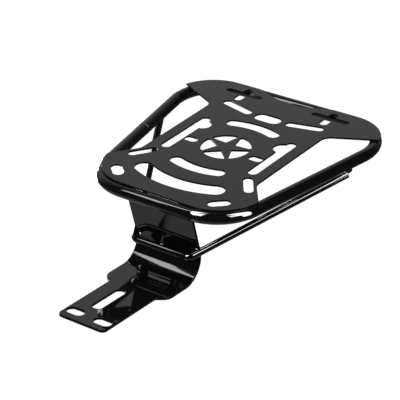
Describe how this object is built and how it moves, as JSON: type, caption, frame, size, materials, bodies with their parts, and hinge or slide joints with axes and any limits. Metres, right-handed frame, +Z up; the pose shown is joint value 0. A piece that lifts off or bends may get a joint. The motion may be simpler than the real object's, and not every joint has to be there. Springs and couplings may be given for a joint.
{
  "type": "motorcycle rear luggage rack",
  "caption": "Welded steel rear luggage rack: a star-cut plate on a bent tube ring, carried by a bent strap bracket and a U-shaped brace rod.",
  "frame": {"origin": "on the underside of the strap, midway between its two crosswise bolt slots", "axes": "+Z up, away from the vehicle; +Y from the bolted end towards the rack's far end; +X to the right looking along +Y"},
  "size_m": [0.2556, 0.3828, 0.109],
  "materials": {
    "plate": "gloss black, slightly softer than the tube",
    "tube": "high gloss black",
    "bracket": "gloss black",
    "rod": "high gloss black",
    "weld_bead": "gloss black over weld ripples"
  },
  "bodies": {
    "root": {"top_plate": "plate", "tube_ring": "tube", "mount_bracket": "bracket", "brace_rod": "rod", "bracket_weld_front": "weld_bead", "bracket_weld_rear": "weld_bead", "brace_notch_weld_left": "weld_bead", "brace_notch_weld_right": "weld_bead", "brace_end_weld_left": "weld_bead", "brace_end_weld_right": "weld_bead", "tube_seam_weld": "weld_bead", "brace_tack_weld_upper": "weld_bead", "brace_tack_weld_lower": "weld_bead", "plate_weld_rear_left": "weld_bead", "plate_weld_rear_right": "weld_bead", "plate_weld_rear_corner_left": "weld_bead", "plate_weld_rear_corner_right": "weld_bead", "plate_weld_front_side_left": "weld_bead", "plate_weld_front_side_right": "weld_bead", "plate_weld_front_corner_left": "weld_bead", "plate_weld_front_corner_right": "weld_bead", "plate_weld_front_left": "weld_bead", "plate_weld_front_right": "weld_bead"}
  },
  "joints": []
}
